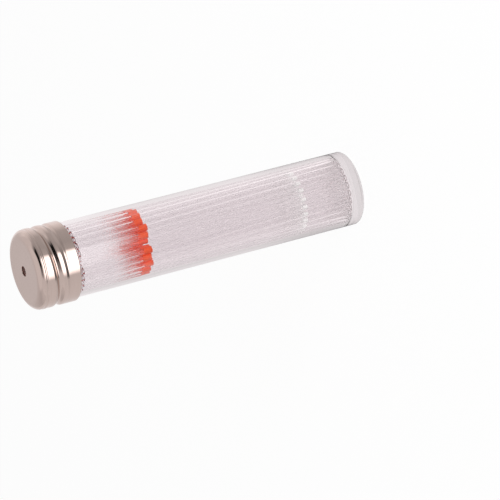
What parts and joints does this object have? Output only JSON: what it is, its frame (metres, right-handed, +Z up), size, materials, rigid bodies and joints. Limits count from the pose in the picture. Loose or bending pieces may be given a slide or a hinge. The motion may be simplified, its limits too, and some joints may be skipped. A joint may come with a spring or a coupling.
{
  "type": "vial of glass capillary tubes",
  "caption": "Clear glass vial with a rolled metal screw cap, filled with thin glass capillary tubes. A small central hole in the cap lets a tube slide out.",
  "frame": {"origin": "centre of the closed base's flat underside", "axes": "+Z up the vial's axis, from the base to the cap's face; X and Y across it"},
  "size_m": [0.0203, 0.0202, 0.0902],
  "materials": {
    "vial_glass": "clear, polished",
    "capillary_glass": "clear, with a printed orange band near the mouth end",
    "nickel_plated_sheet": "satin nickel plate, brighter on the rolled side",
    "liner_rubber": "matt red-brown rubber sheet",
    "stopper_white": "matt white porous plug"
  },
  "bodies": {
    "vial": {"vial": "vial_glass", "stoppers": "stopper_white", "capillary_01": "capillary_glass", "capillary_02": "capillary_glass", "capillary_03": "capillary_glass", "capillary_04": "capillary_glass", "capillary_05": "capillary_glass", "capillary_06": "capillary_glass", "capillary_07": "capillary_glass", "capillary_08": "capillary_glass", "capillary_09": "capillary_glass", "capillary_10": "capillary_glass", "capillary_11": "capillary_glass", "capillary_12": "capillary_glass", "capillary_13": "capillary_glass", "capillary_14": "capillary_glass", "capillary_15": "capillary_glass", "capillary_16": "capillary_glass", "capillary_17": "capillary_glass", "capillary_18": "capillary_glass", "capillary_19": "capillary_glass", "capillary_20": "capillary_glass", "capillary_21": "capillary_glass", "capillary_22": "capillary_glass", "capillary_23": "capillary_glass", "capillary_24": "capillary_glass", "capillary_25": "capillary_glass", "capillary_26": "capillary_glass", "capillary_27": "capillary_glass", "capillary_28": "capillary_glass", "capillary_29": "capillary_glass", "capillary_30": "capillary_glass", "capillary_31": "capillary_glass", "capillary_32": "capillary_glass", "capillary_33": "capillary_glass", "capillary_34": "capillary_glass", "capillary_35": "capillary_glass", "capillary_36": "capillary_glass", "capillary_37": "capillary_glass", "capillary_38": "capillary_glass", "capillary_39": "capillary_glass", "capillary_40": "capillary_glass", "capillary_41": "capillary_glass", "capillary_42": "capillary_glass", "capillary_43": "capillary_glass", "capillary_44": "capillary_glass", "capillary_45": "capillary_glass", "capillary_46": "capillary_glass", "capillary_47": "capillary_glass", "capillary_48": "capillary_glass", "capillary_49": "capillary_glass", "capillary_50": "capillary_glass", "capillary_51": "capillary_glass", "capillary_52": "capillary_glass", "capillary_53": "capillary_glass", "capillary_54": "capillary_glass", "capillary_55": "capillary_glass", "capillary_56": "capillary_glass"},
    "cap_liner": {"cap_liner": "liner_rubber"},
    "cap": {"cap": "nickel_plated_sheet"}
  },
  "joints": [
    {"name": "cap_rise", "type": "slide", "parent": "vial", "child": "cap_liner", "axis": [0, 0, 1], "range_m": [0, 0.00476]},
    {"name": "cap_turn", "type": "hinge", "parent": "cap_liner", "child": "cap", "pos_m": [0, 0, 0.085], "axis": [0, 0, 1], "range_deg": [0, 540]}
  ],
  "couplings": [
    {"joint": "cap_turn", "follows": "cap_rise", "rad_per_m": 1979}
  ]
}
